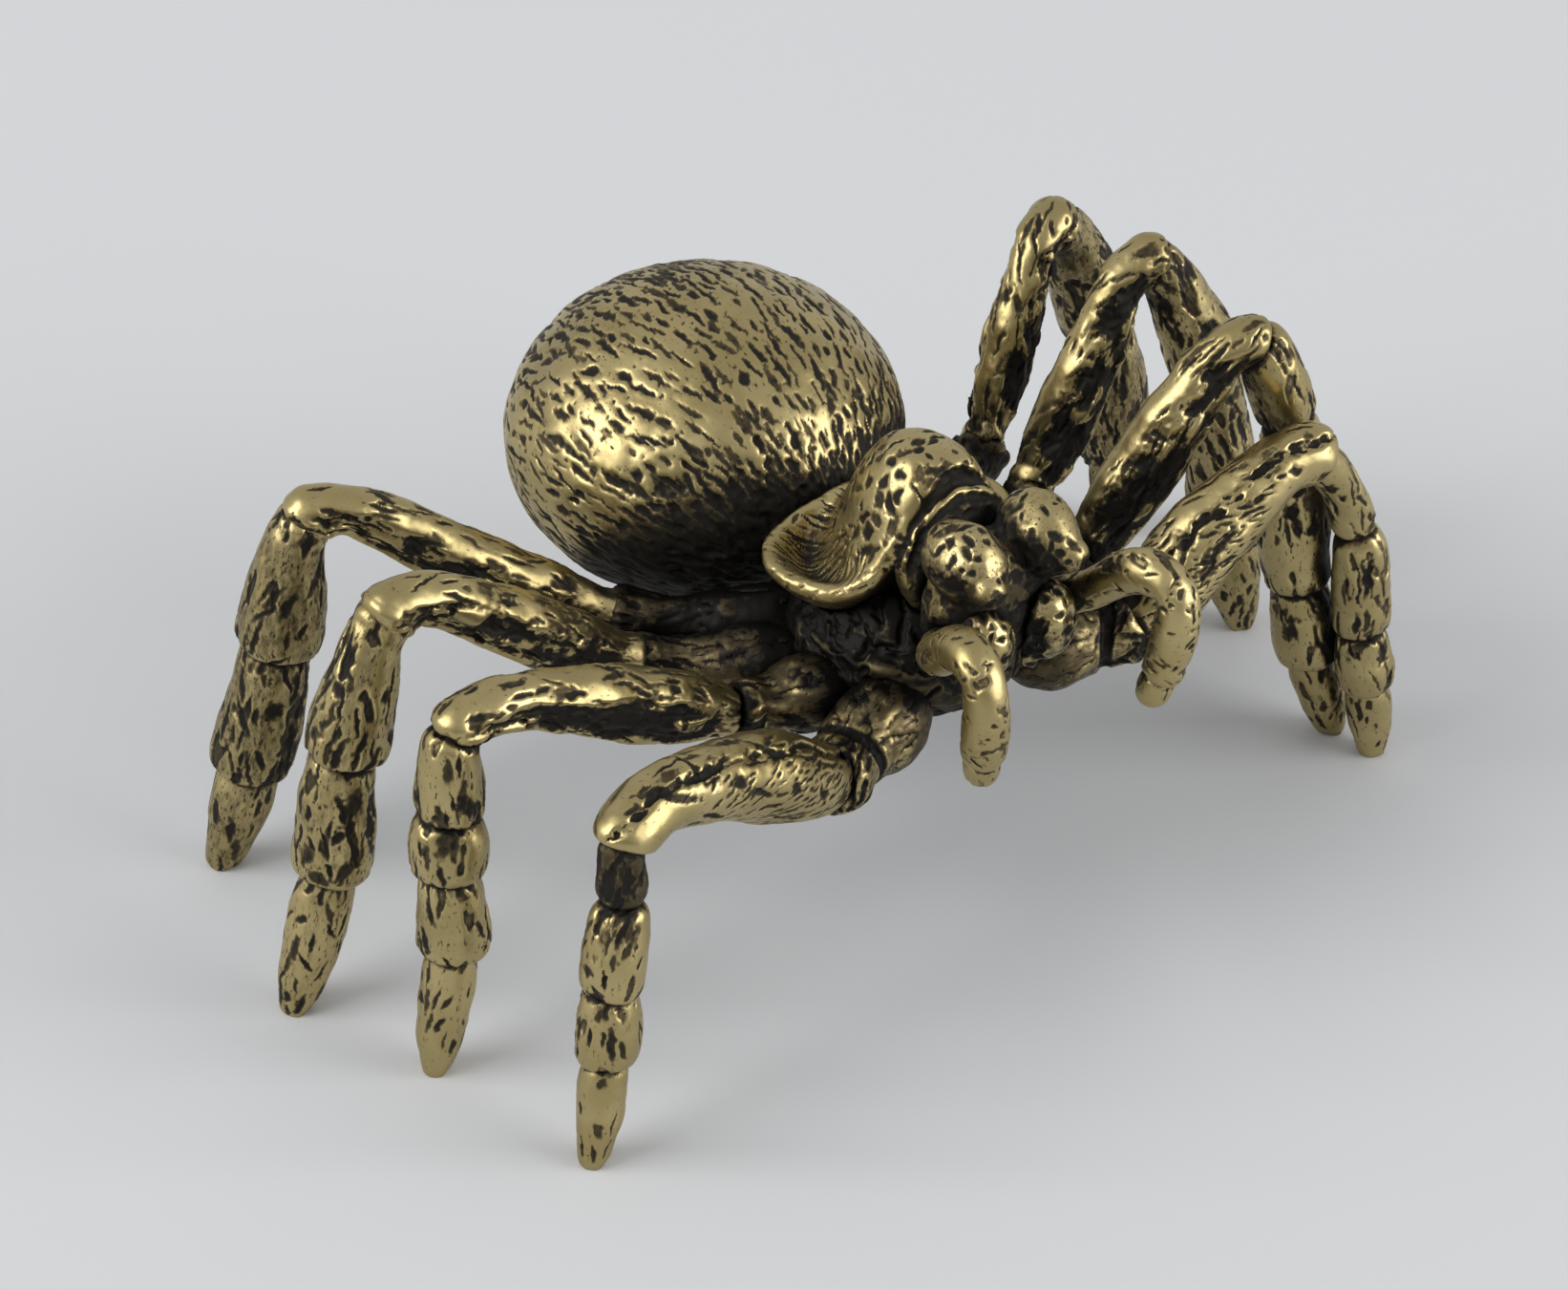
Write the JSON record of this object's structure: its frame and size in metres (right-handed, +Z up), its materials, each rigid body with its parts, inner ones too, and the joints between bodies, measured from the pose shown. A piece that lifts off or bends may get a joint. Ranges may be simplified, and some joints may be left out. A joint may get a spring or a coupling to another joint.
{
  "type": "spider figurine",
  "caption": "Cast brass spider ornament with a round chased abdomen, domed back shield, hooked palps and cuffed legs that stand on their tips.",
  "frame": {"origin": "on the floor under the middle of the figure's bounding box", "axes": "+Z up, the head faces -Y, the spider's left side is +X"},
  "size_m": [0.0612, 0.0402, 0.0269],
  "materials": {
    "antique_brass": "antique brass, polished on the high spots and dark in the chased marks",
    "polished_brass": "worn bright brass with few marks",
    "darkened_brass": "dark oxidised brass in the recesses"
  },
  "bodies": {
    "root": {"leg_1_right_root": "darkened_brass", "leg_1_right_femur": "antique_brass", "leg_1_right_patella": "antique_brass", "leg_1_right_tibia": "antique_brass", "leg_1_right_metatarsus": "antique_brass", "leg_1_right_tarsus": "polished_brass", "leg_2_right_root": "darkened_brass", "leg_2_right_femur": "antique_brass", "leg_2_right_patella": "antique_brass", "leg_2_right_tibia": "antique_brass", "leg_2_right_metatarsus": "antique_brass", "leg_2_right_tarsus": "polished_brass", "leg_3_right_root": "darkened_brass", "leg_3_right_femur": "antique_brass", "leg_3_right_tibia": "antique_brass", "leg_3_right_metatarsus": "antique_brass", "leg_3_right_tarsus": "polished_brass", "leg_4_right_root": "darkened_brass", "leg_4_right_femur": "antique_brass", "leg_4_right_tibia": "antique_brass", "leg_4_right_metatarsus": "antique_brass", "leg_4_right_tarsus": "polished_brass", "palp_arm_right": "polished_brass", "palp_tip_right": "polished_brass", "leg_1_left_root": "darkened_brass", "leg_1_left_femur": "antique_brass", "leg_1_left_patella": "antique_brass", "leg_1_left_tibia": "antique_brass", "leg_1_left_metatarsus": "antique_brass", "leg_1_left_tarsus": "polished_brass", "leg_2_left_root": "darkened_brass", "leg_2_left_femur": "antique_brass", "leg_2_left_patella": "antique_brass", "leg_2_left_tibia": "antique_brass", "leg_2_left_metatarsus": "antique_brass", "leg_2_left_tarsus": "polished_brass", "leg_3_left_root": "darkened_brass", "leg_3_left_femur": "antique_brass", "leg_3_left_tibia": "antique_brass", "leg_3_left_metatarsus": "antique_brass", "leg_3_left_tarsus": "polished_brass", "leg_4_left_root": "darkened_brass", "leg_4_left_femur": "antique_brass", "leg_4_left_tibia": "antique_brass", "leg_4_left_metatarsus": "antique_brass", "leg_4_left_tarsus": "polished_brass", "palp_arm_left": "polished_brass", "palp_tip_left": "polished_brass", "head": "antique_brass", "chelicera_right": "darkened_brass", "chelicera_left": "darkened_brass", "carapace": "antique_brass", "pedicel": "darkened_brass", "thorax": "darkened_brass", "abdomen": "antique_brass"}
  },
  "joints": []
}
